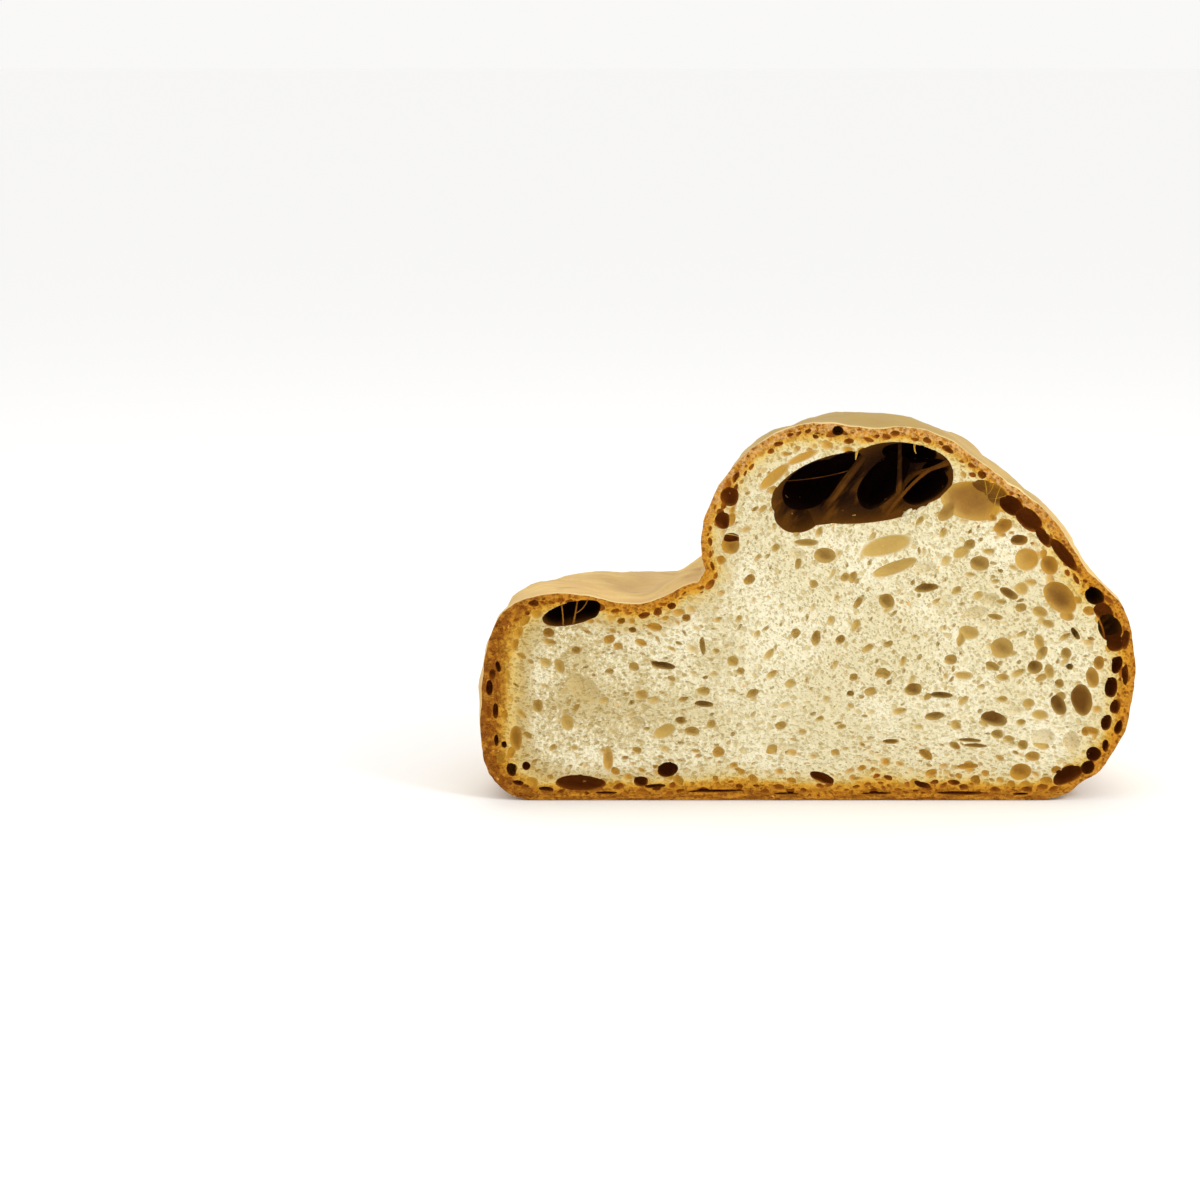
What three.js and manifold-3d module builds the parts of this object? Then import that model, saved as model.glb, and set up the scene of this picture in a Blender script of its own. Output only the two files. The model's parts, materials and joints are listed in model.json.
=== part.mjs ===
// Half of a round sourdough loaf with a folded crown, standing on its baked base with the cut face forward.
// A loaf bakes as one piece, so the half is one solid. Its crust is lofted from the outline of the cut
// through rounder and smaller sections to the back, and the larger gas holes that the knife opened are cut
// out of it. Millimetres, +Z up, +X to the right across the cut face, +Y from the cut face into the loaf.

import * as THREE from "three";
import { mergeVertices } from "three/addons/utils/BufferGeometryUtils.js";
import Module from "manifold-3d";

// Driving dimensions.
const CUT_WIDTH = 240; // across the cut face, end to end
const CROWN_HEIGHT = 140; // base to the top of the high lobe
const HALF_DEPTH = 118; // cut face to the back of the half
const BELLY_HEIGHT = 50; // level of the widest girth, where the back closes

// How finely the skin is divided.
const TOP_STEP = 7; // longest chord round the sides and top
const BASE_STEP = 16; // longest chord across the flat base
const SECTIONS = 20; // sections from the cut to the back
const HOLE_DETAIL = 2; // subdivision of a hole's icosahedron
const HOLLOW_DETAIL = 4; // subdivision of the crown hollow's

// The outline of the cut, from the right end of the flat base over the top to its left end.
// Each point is a share of half the width and a share of the height.
const RIGHT_END = [
  [0.74, 0],
  [0.82, 0.026],
  [0.915, 0.085],
  [0.97, 0.18],
  [0.995, 0.3],
  [1, 0.4],
  [0.975, 0.49],
];
const HIGH_LOBE = [
  [0.93, 0.545],
  [0.85, 0.612],
  [0.78, 0.7],
  [0.7, 0.778],
  [0.6, 0.845],
  [0.49, 0.918],
  [0.4, 0.965],
  [0.29, 0.988],
  [0.16, 0.993],
  [0.04, 1],
  [-0.07, 0.988],
  [-0.17, 0.948],
  [-0.25, 0.875],
  [-0.31, 0.79],
  [-0.34, 0.72],
  [-0.338, 0.655],
  [-0.318, 0.602],
];
const FOLD = [[-0.275, 0.562]]; // where the high lobe folds over the low one
const LOW_LOBE = [
  [-0.335, 0.59],
  [-0.4, 0.57],
  [-0.47, 0.541],
  [-0.53, 0.527],
  [-0.6, 0.535],
  [-0.7, 0.552],
  [-0.79, 0.552],
  [-0.88, 0.537],
  [-0.945, 0.495],
  [-0.985, 0.42],
];
const LEFT_END = [
  [-1, 0.32],
  [-1, 0.19],
  [-0.985, 0.09],
  [-0.945, 0.032],
  [-0.87, 0],
];

// How the sections change towards the back.
const DOME_RISE = 0.6; // the dome's height above the belly, as a share of the crown's height
const DOME_POWER = 2.3; // squareness of the dome that the outline turns into
const TURN_FROM = 0.7; // share of the depth from which it turns, fully by the back
const WIDE_POWERS = [2.5, 2.2]; // how fast the width closes
const UP_POWERS = [2.6, 2.2]; // how fast the height above the belly closes
const FLAT_SHARE = 0.6; // the base is flat to this share of the depth
const UNDER_POWERS = [2.4, 2]; // how fast the base curls up after that
const BACK_SHIFT = 5; // how far the back's tip sits to the right of the middle
const CROWN_LEAN = 20; // how far the crown drifts to the right on its way to the back

// Slow swells of the crust. They fade in behind the cut, so that the cut keeps its outline, and above the
// base, and fade out towards the back's tip.
const SWELLS = [
  { height: 1.5, around: 5, along: 2.2, phase: 0.6 },
  { height: 1.1, around: 9, along: -3.4, phase: 2.1 },
  { height: 0.7, around: 14, along: 5.3, phase: 4.0 },
];
const SWELL_FADE = 30; // depth, and height above the base, by which they are whole
const SWELL_END = 0.55; // share of the depth from which they fade out

// The holes: centre across and up on the cut face, centre behind it, half sizes along, up and into the loaf
// before the tilt, and the tilt in degrees, anticlockwise as seen from the front.
const CROWN_HOLLOW = [
  { across: 9, up: 115.3, behind: 10, half: [24, 13, 26], tilt: 17 },
  { across: 32, up: 120.4, behind: 12, half: [20, 12.6, 28], tilt: -4 },
];
const CRUST_POCKETS = [
  { across: -86, up: 69.5, behind: 4, half: [11, 4.6, 12], tilt: 14 },
  { across: 77, up: 106.5, behind: 2, half: [8.5, 3.8, 8], tilt: -40 },
  { across: 105.5, up: 74.6, behind: 3, half: [5.4, 3.4, 8], tilt: -35 },
  { across: 110, up: 61.4, behind: 3, half: [6.4, 6, 9], tilt: -60 },
  { across: 96, up: 9.4, behind: 2, half: [6.4, 3.6, 7], tilt: 25 },
  { across: 105, up: 14.8, behind: 2, half: [6.2, 3.1, 6], tilt: 80 },
  { across: -83, up: 6.6, behind: 1, half: [10, 3.4, 6], tilt: -4 },
];
const CRUMB_HOLES = [
  { across: 58.5, up: 110.5, behind: 1, half: [12, 7.5, 8], tilt: -8 },
  { across: 91, up: 75.5, behind: 1, half: [7.6, 4.8, 6], tilt: -45 },
  { across: 78.5, up: 89.5, behind: 0, half: [4.9, 4.8, 4.5], tilt: 0 },
  { across: 99.7, up: 37.6, behind: 1, half: [6.4, 4.2, 6], tilt: 100 },
  { across: 91.4, up: 35.8, behind: 1, half: [4.2, 3, 5], tilt: 115 },
  { across: 67.8, up: 30.6, behind: 1, half: [5.2, 3.1, 5], tilt: -15 },
  { across: 70, up: 56.8, behind: 0, half: [4.4, 4, 4.5], tilt: 0 },
  { across: 27.6, up: 94.2, behind: 0, half: [11.4, 4.4, 5], tilt: 12 },
  { across: 30.4, up: 86.6, behind: 0, half: [9.6, 2.6, 4], tilt: 20 },
  { across: -51, up: 11.6, behind: 2, half: [4.4, 3.4, 6], tilt: 0 },
];

const wasm = await Module();
wasm.setup();

const smooth = THREE.MathUtils.smoothstep;

// How much of a size is left at a share of the depth: 1 at first, 0 at the end.
function closing(share, [power, root]) {
  return Math.pow(Math.max(0, 1 - Math.pow(share, power)), 1 / root);
}

// Points along the curve over the top, with each outline point kept, then back across the flat base.
function cutOutline() {
  const corners = [...RIGHT_END, ...HIGH_LOBE, ...FOLD, ...LOW_LOBE, ...LEFT_END].map(
    ([across, up]) => new THREE.Vector3((across * CUT_WIDTH) / 2, 0, up * CROWN_HEIGHT),
  );
  const curve = new THREE.CatmullRomCurve3(corners, false, "centripetal");
  const points = [];
  for (let i = 0; i < corners.length - 1; i++) {
    const steps = Math.ceil(corners[i].distanceTo(corners[i + 1]) / TOP_STEP);
    for (let j = 0; j < steps; j++) points.push(curve.getPoint((i + j / steps) / (corners.length - 1)));
  }
  const left = corners.at(-1);
  const baseSteps = Math.ceil(left.distanceTo(corners[0]) / BASE_STEP);
  for (let j = 0; j < baseSteps; j++) points.push(left.clone().lerp(corners[0], j / baseSteps));
  return points.map(({ x, z }) => ({ x, z: Math.max(0, z) }));
}

// The point of the rounded dome that lies in the same direction from the belly as an outline point.
function onDome({ x, z }) {
  const across = x / (CUT_WIDTH / 2);
  const up = (z - BELLY_HEIGHT) / (DOME_RISE * CROWN_HEIGHT);
  const reach = Math.pow(Math.abs(across) ** DOME_POWER + Math.abs(up) ** DOME_POWER, -1 / DOME_POWER);
  return { x: x * reach, z: BELLY_HEIGHT + (z - BELLY_HEIGHT) * reach };
}

// One outline point carried back to a share of the depth.
function atDepth(point, share, turn) {
  const above = point.z > BELLY_HEIGHT;
  const dome = above ? onDome(point) : point;
  const turned = smooth(share, TURN_FROM, 1);
  const x = THREE.MathUtils.lerp(point.x, dome.x, turned);
  const z = THREE.MathUtils.lerp(point.z, dome.z, turned) - BELLY_HEIGHT;
  const curl = Math.max(0, share - FLAT_SHARE) / (1 - FLAT_SHARE);
  const closingUp = above ? closing(share, UP_POWERS) : closing(curl, UNDER_POWERS);
  const closingIn = closing(share, WIDE_POWERS);
  const swell = swellAt(share, turn) * smooth(point.z, 0, SWELL_FADE);
  const angle = Math.atan2(z, x);
  const lean = (CROWN_LEAN * share * Math.max(0, z) * closingUp) / (CROWN_HEIGHT - BELLY_HEIGHT);
  return new THREE.Vector3(
    x * closingIn + BACK_SHIFT * share * share + lean + swell * closingIn * Math.cos(angle),
    share * HALF_DEPTH,
    BELLY_HEIGHT + z * closingUp + swell * closingUp * Math.sin(angle),
  );
}

function swellAt(share, turn) {
  const ripple = SWELLS.reduce(
    (sum, { height, around, along, phase }) =>
      sum + height * Math.sin(around * turn + along * Math.PI * share + phase),
    0,
  );
  return ripple * smooth(share * HALF_DEPTH, 0, SWELL_FADE) * (1 - smooth(share, SWELL_END, 1));
}

// The whole half as a closed skin: the sections joined in strips, the flat cut, and a fan at the back.
function loafSkin() {
  const outline = cutOutline();
  const count = outline.length;
  const vertices = [];
  for (let section = 0; section < SECTIONS; section++) {
    const share = Math.sin((Math.PI / 2) * (section / SECTIONS));
    outline.forEach((point, i) => vertices.push(atDepth(point, share, (2 * Math.PI * i) / count)));
  }
  vertices.push(new THREE.Vector3(BACK_SHIFT, HALF_DEPTH, BELLY_HEIGHT));
  const tip = vertices.length - 1;
  const faces = [];
  for (let i = 0; i < count; i++) {
    const next = (i + 1) % count;
    for (let section = 0; section < SECTIONS - 1; section++) {
      const near = section * count;
      const far = near + count;
      faces.push([near + i, far + i, far + next], [near + i, far + next, near + next]);
    }
    faces.push([tip - count + i, tip, tip - count + next]);
  }
  const flat = outline.map(({ x, z }) => new THREE.Vector2(x, z));
  for (const [a, b, c] of THREE.ShapeUtils.triangulateShape(flat, [])) faces.push([a, b, c]);
  return new THREE.BufferGeometry().setFromPoints(vertices).setIndex(faces.flat());
}

function solidOf(geometry) {
  geometry.deleteAttribute("normal");
  geometry.deleteAttribute("uv");
  const merged = mergeVertices(geometry);
  return new wasm.Manifold(
    new wasm.Mesh({
      numProp: 3,
      vertProperties: merged.attributes.position.array,
      triVerts: new Uint32Array(merged.index.array),
    }),
  );
}

function holeSolid({ across, up, behind, half, tilt }, detail) {
  const [along, upwards, inwards] = half;
  const hole = new THREE.IcosahedronGeometry(1, detail)
    .scale(along, inwards, upwards)
    .rotateY(THREE.MathUtils.degToRad(-tilt))
    .translate(across, behind, up);
  return solidOf(hole);
}

function geometryOf(solid) {
  const { vertProperties, triVerts } = solid.getMesh();
  return new THREE.BufferGeometry()
    .setAttribute("position", new THREE.BufferAttribute(vertProperties, 3))
    .setIndex(new THREE.BufferAttribute(triVerts, 1));
}

// Sets the geometry down with its origin under the middle of its box, on the base.
function setOnBase(geometry) {
  geometry.computeBoundingBox();
  const { min, max } = geometry.boundingBox;
  return geometry.translate(-(min.x + max.x) / 2, -(min.y + max.y) / 2, -min.z);
}

function halfLoaf() {
  const holes = [
    ...CROWN_HOLLOW.map((hole) => holeSolid(hole, HOLLOW_DETAIL)),
    ...[...CRUST_POCKETS, ...CRUMB_HOLES].map((hole) => holeSolid(hole, HOLE_DETAIL)),
  ];
  const bread = holes.reduce((left, hole) => left.subtract(hole), solidOf(loafSkin()));
  const baked = new THREE.MeshStandardMaterial({ color: 0xd8b070, roughness: 0.8, metalness: 0 });
  const mesh = new THREE.Mesh(setOnBase(geometryOf(bread)), baked);
  mesh.name = "half_loaf";
  return mesh;
}

const loaf = new THREE.Group();
loaf.add(halfLoaf());

export default loaf;
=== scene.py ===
import json
import math

import bmesh
import bpy
import numpy as np
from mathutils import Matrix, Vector

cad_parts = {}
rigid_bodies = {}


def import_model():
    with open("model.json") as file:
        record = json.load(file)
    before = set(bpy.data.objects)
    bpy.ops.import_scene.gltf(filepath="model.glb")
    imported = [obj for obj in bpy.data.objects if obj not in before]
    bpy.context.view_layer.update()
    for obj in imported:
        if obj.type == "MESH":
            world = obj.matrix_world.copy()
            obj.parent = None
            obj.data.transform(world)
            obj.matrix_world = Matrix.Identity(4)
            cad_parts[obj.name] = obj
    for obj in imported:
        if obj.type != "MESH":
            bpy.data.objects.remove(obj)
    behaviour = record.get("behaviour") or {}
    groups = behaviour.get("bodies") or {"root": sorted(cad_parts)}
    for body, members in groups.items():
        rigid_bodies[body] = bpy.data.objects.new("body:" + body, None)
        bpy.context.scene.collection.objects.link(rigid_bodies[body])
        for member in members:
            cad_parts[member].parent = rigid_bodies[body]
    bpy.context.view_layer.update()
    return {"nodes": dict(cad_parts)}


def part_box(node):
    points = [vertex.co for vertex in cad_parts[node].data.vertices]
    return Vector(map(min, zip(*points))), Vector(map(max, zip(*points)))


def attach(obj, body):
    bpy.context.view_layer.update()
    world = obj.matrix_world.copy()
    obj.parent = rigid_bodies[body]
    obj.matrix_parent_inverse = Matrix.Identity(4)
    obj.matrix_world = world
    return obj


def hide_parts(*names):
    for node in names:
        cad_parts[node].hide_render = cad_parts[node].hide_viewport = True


mm = 0.001

for leftover in list(bpy.data.objects):
    bpy.data.objects.remove(leftover)
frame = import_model()
loafNode = frame["nodes"]["half_loaf"]
loafLow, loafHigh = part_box("half_loaf")
cutPlane = loafLow.y  # the knife's face, towards the camera
print("frame loaded")


# ---- small helpers for node trees, used by geometry and shader trees alike

def pick(sockets, key):
    if isinstance(key, int):
        return sockets[key]
    named = [socket for socket in sockets if socket.name == key]
    return next((socket for socket in named if socket.enabled), named[0])


def put(tree, kind, sockets=None, **settings):
    # adds one node: its settings first, then a value or a link for each socket
    node = tree.nodes.new(kind)
    for key, value in settings.items():
        setattr(node, key, value)
    for key, value in (sockets or {}).items():
        feed(tree, pick(node.inputs, key), value)
    return node


def feed(tree, socket, value):
    if isinstance(value, bpy.types.NodeSocket):
        tree.links.new(value, socket)
    elif value is not None:
        socket.default_value = value


def calc(tree, operation, *values):
    return put(tree, "ShaderNodeMath", dict(enumerate(values)), operation=operation).outputs[0]


def times(tree, first, second):
    return calc(tree, "MULTIPLY", first, second)


def plus(tree, first, second):
    return calc(tree, "ADD", first, second)


def minus(tree, first, second):
    return calc(tree, "SUBTRACT", first, second)


def vec(tree, operation, *values):
    node = put(tree, "ShaderNodeVectorMath", dict(enumerate(values)), operation=operation)
    return node.outputs["Value"] if operation in ("LENGTH", "DISTANCE", "DOT_PRODUCT") else node.outputs[0]


def split(tree, vector):
    return put(tree, "ShaderNodeSeparateXYZ", {0: vector}).outputs


def join(tree, x=0.0, y=0.0, z=0.0):
    return put(tree, "ShaderNodeCombineXYZ", {"X": x, "Y": y, "Z": z}).outputs[0]


def texture(tree, vector, detail, scale=1.0, rough=0.5):
    # soft noise about 0.5; the outputs are one number and one colour
    return put(tree, "ShaderNodeTexNoise", {
        "Vector": vector, "Scale": scale, "Detail": detail, "Roughness": rough}).outputs


def ramp(tree, value, low, high, outLow=0.0, outHigh=1.0):
    # a soft step from outLow to outHigh; low may also be the greater of the two
    return put(tree, "ShaderNodeMapRange", {
        "Value": value, "From Min": low, "From Max": high, "To Min": outLow, "To Max": outHigh,
    }, interpolation_type="SMOOTHSTEP").outputs["Result"]


def above(tree, first, second):
    return calc(tree, "GREATER_THAN", first, second)


def below(tree, first, second):
    return calc(tree, "LESS_THAN", first, second)


def position(tree):
    return put(tree, "GeometryNodeInputPosition").outputs[0]


def store(tree, geometry, name, value, domain="FACE"):
    return put(tree, "GeometryNodeStoreNamedAttribute", {
        "Geometry": geometry, "Name": name, "Value": value}, data_type="FLOAT", domain=domain).outputs[0]


def stored(tree, name, kind="FLOAT"):
    return put(tree, "GeometryNodeInputNamedAttribute", {"Name": name}, data_type=kind).outputs[0]


def drop(tree, geometry, selection, domain):
    return put(tree, "GeometryNodeDeleteGeometry", {
        "Geometry": geometry, "Selection": selection}, domain=domain).outputs[0]


def shift(tree, geometry, offset, selection=None):
    return put(tree, "GeometryNodeSetPosition", {
        "Geometry": geometry, "Offset": offset, "Selection": selection}).outputs[0]


def newTree(name, kind, inputs, outputs):
    # each socket's kind follows from its value: None stands for geometry, "Object" for an object
    kinds = {float: "Float", int: "Int", tuple: "Vector", type(None): "Geometry", str: "Object"}
    tree = bpy.data.node_groups.new(name, kind)
    for direction, sockets in (("INPUT", inputs), ("OUTPUT", outputs)):
        for socketName, value in sockets.items():
            socket = tree.interface.new_socket(
                socketName, in_out=direction, socket_type="NodeSocket" + kinds[type(value)])
            if isinstance(value, (float, int, tuple)):
                socket.default_value = value
    return tree, put(tree, "NodeGroupInput").outputs, put(tree, "NodeGroupOutput")


def setInputs(modifier, values):
    # a modifier's inputs are set by the socket's identifier
    for item in modifier.node_group.interface.items_tree:
        if item.item_type == "SOCKET" and item.in_out == "INPUT" and item.name in values:
            modifier[item.identifier] = values[item.name]


def addObject(name, data):
    piece = bpy.data.objects.new(name, data)
    bpy.context.scene.collection.objects.link(piece)
    return piece


def bake(piece):
    # the evaluated result becomes a plain mesh, and the modifiers go
    bpy.context.view_layer.update()
    evaluated = piece.evaluated_get(bpy.context.evaluated_depsgraph_get())
    mesh = bpy.data.meshes.new_from_object(evaluated)
    piece.modifiers.clear()
    old = piece.data
    piece.data = mesh
    if old.users == 0:
        bpy.data.meshes.remove(old)
    return piece


# ---- camera, light and floor

studio = {
    "azimuth": 0.0,  # degrees
    "elevation": 10.0,
    "distance": 1.15,  # metres from the aim point
    "aim": (-75.3, 74.7),  # mm across and up on the cut face: the middle of the picture
    "pictureWidth": 435,  # mm seen across at the cut face
    "floorColour": (0.98, 0.98, 0.975, 1),
    "floorReach": 30,  # metres, far enough to meet the world without a line
    "worldColour": (1.0, 0.995, 0.985, 1),
    "worldStrength": 0.95,
    "sensorWidth": 36,
    "lights": {  # place and width of each lamp in metres, watts, colour
        "keyLight": ((0.62, -0.66, 0.7), 0.32, 3.8, (1.0, 0.985, 0.95)),
        "fillLight": ((-0.95, -0.7, 0.5), 0.9, 0.5, (1.0, 0.98, 0.95)),
        "topLight": ((-0.1, 0.4, 1.2), 0.8, 2.0, (1.0, 0.985, 0.96)),
    },
}


def makeStudio():
    azimuth, elevation = math.radians(studio["azimuth"]), math.radians(studio["elevation"])
    forward = Vector((-math.sin(azimuth) * math.cos(elevation), math.cos(azimuth) * math.cos(elevation),
                      -math.sin(elevation)))
    aim = Vector((studio["aim"][0] * mm, cutPlane, studio["aim"][1] * mm))
    lens = bpy.data.cameras.new("camera")
    lens.sensor_width = studio["sensorWidth"]
    lens.lens = studio["sensorWidth"] * studio["distance"] / (studio["pictureWidth"] * mm)
    lens.clip_start = 0.01
    camera = addObject("camera", lens)
    camera.location = aim - forward * studio["distance"]
    camera.rotation_euler = forward.to_track_quat("-Z", "Y").to_euler()
    bpy.context.scene.camera = camera

    floorMesh = bpy.data.meshes.new("floor")
    reach = studio["floorReach"]
    corners = [(-reach, -reach, 0), (reach, -reach, 0), (reach, reach, 0), (-reach, reach, 0)]
    floorMesh.from_pydata(corners, [], [(0, 1, 2, 3)])
    floor = addObject("floor", floorMesh)
    paper = bpy.data.materials.new("floorPaper")
    paper.use_nodes = True
    shader = paper.node_tree.nodes["Principled BSDF"]
    shader.inputs["Base Color"].default_value = studio["floorColour"]
    shader.inputs["Roughness"].default_value = 0.9
    floorMesh.materials.append(paper)

    world = bpy.data.worlds.new("studio")
    world.use_nodes = True
    sky = world.node_tree.nodes["Background"].inputs
    sky["Color"].default_value = studio["worldColour"]
    sky["Strength"].default_value = studio["worldStrength"]
    bpy.context.scene.world = world
    for name, (place, size, power, colour) in studio["lights"].items():
        softbox(name, place, size, power, colour, Vector((0, 0, loafHigh.z / 2)))
    bpy.context.scene.view_settings.view_transform = "Standard"


def softbox(name, place, size, power, colour, target):
    light = bpy.data.lights.new(name, "AREA")
    light.shape = "DISK"
    light.size = size
    light.energy = power
    light.color = colour
    lamp = addObject(name, light)
    lamp.location = place
    lamp.rotation_euler = (target - Vector(place)).to_track_quat("-Z", "Y").to_euler()


makeStudio()
print("studio ready")


# ---- the crust's own form, taken from the CAD half

crust = {
    "lead": 9,  # mm that the skin runs past the knife before it is cut
    "voxel": 2.7,  # mm between points of the skin
    "smoothSteps": 4,
    "relief": {"Dimple": (26, 1.1), "Wrinkle": (9, 0.6), "Grain": (3.2, 0.22)},  # mm across, mm deep
    "baseRelief": 0.18,  # share of the relief left on the flat base
    "seed": 0.137,
}


def skinShell():
    # the CAD skin without its cut face and holes, run forward past the knife and closed there
    shell = bmesh.new()
    shell.from_mesh(loafNode.data)
    bmesh.ops.remove_doubles(shell, verts=shell.verts, dist=1e-6)
    onCut = [face for face in shell.faces if all(abs(vert.co.y - cutPlane) < 1e-5 for vert in face.verts)]
    bmesh.ops.delete(shell, geom=onCut, context="FACES")
    # what hangs together with the lowest face is the skin; the rest lines the holes
    island, queue = set(), [min(shell.faces, key=lambda face: face.calc_center_median().z)]
    while queue:
        face = queue.pop()
        if face in island:
            continue
        island.add(face)
        queue.extend(other for edge in face.edges for other in edge.link_faces if other not in island)
    bmesh.ops.delete(shell, geom=[face for face in shell.faces if face not in island], context="FACES")
    bmesh.ops.delete(shell, geom=[vert for vert in shell.verts if not vert.link_faces], context="VERTS")
    rim = [edge for edge in shell.edges if edge.is_boundary]
    moved = bmesh.ops.extrude_edge_only(shell, edges=rim)["geom"]
    front = [item for item in moved if isinstance(item, bmesh.types.BMVert)]
    bmesh.ops.translate(shell, verts=front, vec=(0, -crust["lead"] * mm, 0))
    bmesh.ops.edgeloop_fill(shell, edges=[item for item in moved if isinstance(item, bmesh.types.BMEdge)])
    bmesh.ops.triangulate(shell, faces=[face for face in shell.faces if len(face.verts) > 4])
    bmesh.ops.recalc_face_normals(shell, faces=shell.faces)
    mesh = bpy.data.meshes.new("half_loaf_bread")
    shell.to_mesh(mesh)
    shell.free()
    return mesh


def faceSheet():
    # the flat outline of the cut, on which the gas holes are strewn
    sheet = bmesh.new()
    sheet.from_mesh(loafNode.data)
    bmesh.ops.remove_doubles(sheet, verts=sheet.verts, dist=1e-6)
    onCut = {vert for vert in sheet.verts if abs(vert.co.y - cutPlane) < 1e-5}
    keep = [edge for edge in sheet.edges if all(vert in onCut for vert in edge.verts)
            and sum(all(vert in onCut for vert in face.verts) for face in edge.link_faces) == 1]
    # the outer loop is the one that touches the lowest points
    loop, queue = set(), [min(keep, key=lambda edge: edge.verts[0].co.z + edge.verts[1].co.z)]
    while queue:
        edge = queue.pop()
        if edge in loop:
            continue
        loop.add(edge)
        queue.extend(other for vert in edge.verts for other in vert.link_edges if other in keep)
    order = [min((edge.verts[0] for edge in loop), key=lambda vert: (vert.co.x, vert.co.z))]
    previous = None
    while len(order) < len(loop):
        edge = next(edge for edge in order[-1].link_edges if edge in loop and edge is not previous)
        previous = edge
        order.append(edge.other_vert(order[-1]))
    points = [tuple(vert.co) for vert in order]
    sheet.free()
    mesh = bpy.data.meshes.new("cutSheet")
    mesh.from_pydata(points, [], [tuple(range(len(points)))])
    if mesh.polygons[0].normal.y > 0:
        mesh.flip_normals()
    return mesh


def reliefTree():
    # sinks the skin by dimples, wrinkles and grain; nothing rises, so it stays inside the CAD form
    tree, given, out = newTree("crustRelief", "GeometryNodeTree", {
        "Geometry": None,
        "Dimple size": 0.02, "Dimple depth": 0.001,
        "Wrinkle size": 0.008, "Wrinkle depth": 0.0005,
        "Grain size": 0.003, "Grain depth": 0.0002,
        "Base share": 0.2, "Seed": 0.0,
    }, {"Geometry": None})
    place = position(tree)
    normal = put(tree, "GeometryNodeInputNormal").outputs[0]
    seeded = vec(tree, "ADD", place, given["Seed"])
    total = None
    for name, detail, stretch in (("Dimple", 1.0, (1, 1, 1)), ("Wrinkle", 2.0, (1, 0.45, 1.25)),
                                  ("Grain", 2.0, (1, 1, 1))):
        scaled = vec(tree, "DIVIDE", vec(tree, "MULTIPLY", seeded, stretch), given[name + " size"])
        waves = texture(tree, scaled, detail)[0]
        part = times(tree, ramp(tree, waves, 0.3, 0.7), given[name + " depth"])
        total = part if total is None else plus(tree, total, part)
    facing = split(tree, normal)["Z"]
    height = split(tree, place)["Z"]
    onBase = times(tree, ramp(tree, facing, -0.5, -0.9), ramp(tree, height, 6 * mm, 1.5 * mm))
    taken = times(tree, onBase, minus(tree, 1.0, given["Base share"]))
    total = times(tree, total, minus(tree, 1.0, taken))
    inwards = vec(tree, "SCALE", normal, None, None, times(tree, total, -1.0))
    feed(tree, out.inputs[0], shift(tree, given["Geometry"], inwards))
    return tree


def makeSkin():
    guide = addObject("crustGuide", skinShell())
    rounded = guide.modifiers.new("rounded", "SUBSURF")
    rounded.levels = rounded.render_levels = 1
    bake(guide)
    skin = addObject("half_loaf_bread", guide.data.copy())
    even = skin.modifiers.new("even", "REMESH")
    even.mode = "VOXEL"
    even.voxel_size = crust["voxel"] * mm
    even.use_smooth_shade = True
    calm = skin.modifiers.new("calm", "SMOOTH")
    calm.factor = 0.5
    calm.iterations = crust["smoothSteps"]
    back = skin.modifiers.new("back", "SHRINKWRAP")
    back.target = guide
    bake(skin)
    bpy.data.objects.remove(guide)
    relief = skin.modifiers.new("relief", "NODES")
    relief.node_group = reliefTree()
    for name, (size, depth) in crust["relief"].items():
        setInputs(relief, {name + " size": size * mm, name + " depth": depth * mm})
    setInputs(relief, {"Base share": crust["baseRelief"], "Seed": crust["seed"]})
    return bake(skin)


skin = makeSkin()
sheet = addObject("cutSheet", faceSheet())
print("skin", len(skin.data.vertices), "points")


# ---- the gas holes

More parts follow.
